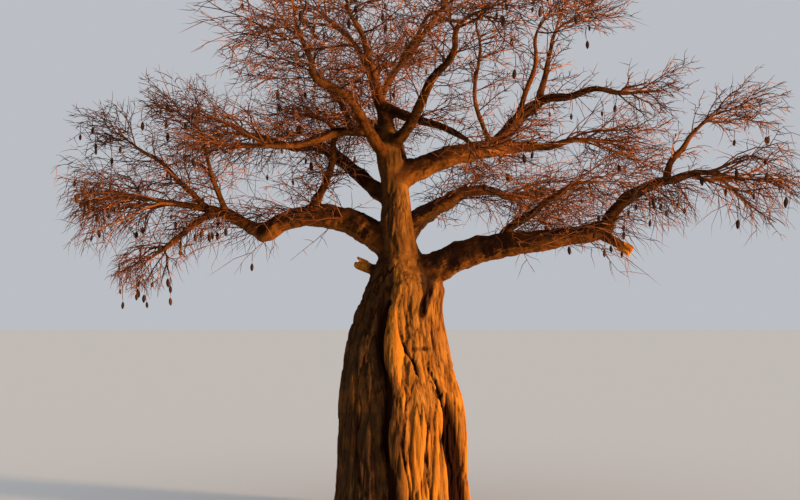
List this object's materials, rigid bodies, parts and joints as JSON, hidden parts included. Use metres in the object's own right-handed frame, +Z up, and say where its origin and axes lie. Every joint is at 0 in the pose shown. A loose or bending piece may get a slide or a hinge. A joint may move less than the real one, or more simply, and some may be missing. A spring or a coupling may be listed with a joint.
{
  "type": "bare baobab tree with hanging fruit",
  "caption": "Leafless baobab tree with a swollen, furrowed trunk, thick spreading boughs and fruit hanging among bare twigs.",
  "frame": {"origin": "middle of the flat cut under the trunk, at ground level", "axes": "+X to the right along the crown's longest side, +Y away from the viewer, +Z up"},
  "size_m": [14.4006, 12.1058, 11.6608],
  "materials": {
    "trunk_bark": "rough folded bark, grey-brown in the furrows and copper-orange on the ridges",
    "bough_bark": "matt wrinkled bark, copper-brown and greyer on the shaded underside",
    "twig_bark": "matt red-brown twigs with dull brown velvety fruit pods"
  },
  "bodies": {
    "root": {"trunk": "trunk_bark", "bough_back": "bough_bark", "bough_back_left": "bough_bark", "bough_back_right": "bough_bark", "bough_back_top": "bough_bark", "bough_front": "bough_bark", "bough_front_left": "bough_bark", "bough_front_right": "bough_bark", "bough_inner_front": "bough_bark", "bough_inner_left": "bough_bark", "bough_inner_right": "bough_bark", "bough_inner_top": "bough_bark", "bough_leader": "bough_bark", "bough_leader_top": "bough_bark", "bough_left_drop": "bough_bark", "bough_left_low": "bough_bark", "bough_left_out": "bough_bark", "bough_left_rise_inner": "bough_bark", "bough_left_rise_outer": "bough_bark", "bough_left_riser": "bough_bark", "bough_left_stub": "bough_bark", "bough_right_elbow": "bough_bark", "bough_right_high": "bough_bark", "bough_right_low": "bough_bark", "bough_right_mid": "bough_bark", "bough_right_stub": "bough_bark", "bough_top_right": "bough_bark", "bough_up_right": "bough_bark", "bough_up_right_out": "bough_bark", "bough_up_right_top": "bough_bark", "bough_upper_left": "bough_bark", "bough_upper_right": "bough_bark", "bough_upper_right_end": "bough_bark", "bough_upright": "bough_bark", "twigs_back": "twig_bark", "twigs_back_left": "twig_bark", "twigs_back_right": "twig_bark", "twigs_back_top": "twig_bark", "twigs_front": "twig_bark", "twigs_front_left": "twig_bark", "twigs_front_right": "twig_bark", "twigs_inner_front": "twig_bark", "twigs_inner_left": "twig_bark", "twigs_inner_right": "twig_bark", "twigs_inner_top": "twig_bark", "twigs_leader_top": "twig_bark", "twigs_left_drop": "twig_bark", "twigs_left_far": "twig_bark", "twigs_left_inner": "twig_bark", "twigs_left_outer": "twig_bark", "twigs_left_riser": "twig_bark", "twigs_right_far": "twig_bark", "twigs_right_high": "twig_bark", "twigs_right_mid": "twig_bark", "twigs_top_right": "twig_bark", "twigs_up_right_out": "twig_bark", "twigs_up_right_top": "twig_bark", "twigs_upper_left": "twig_bark", "twigs_upper_right": "twig_bark", "twigs_upright": "twig_bark"}
  },
  "joints": []
}
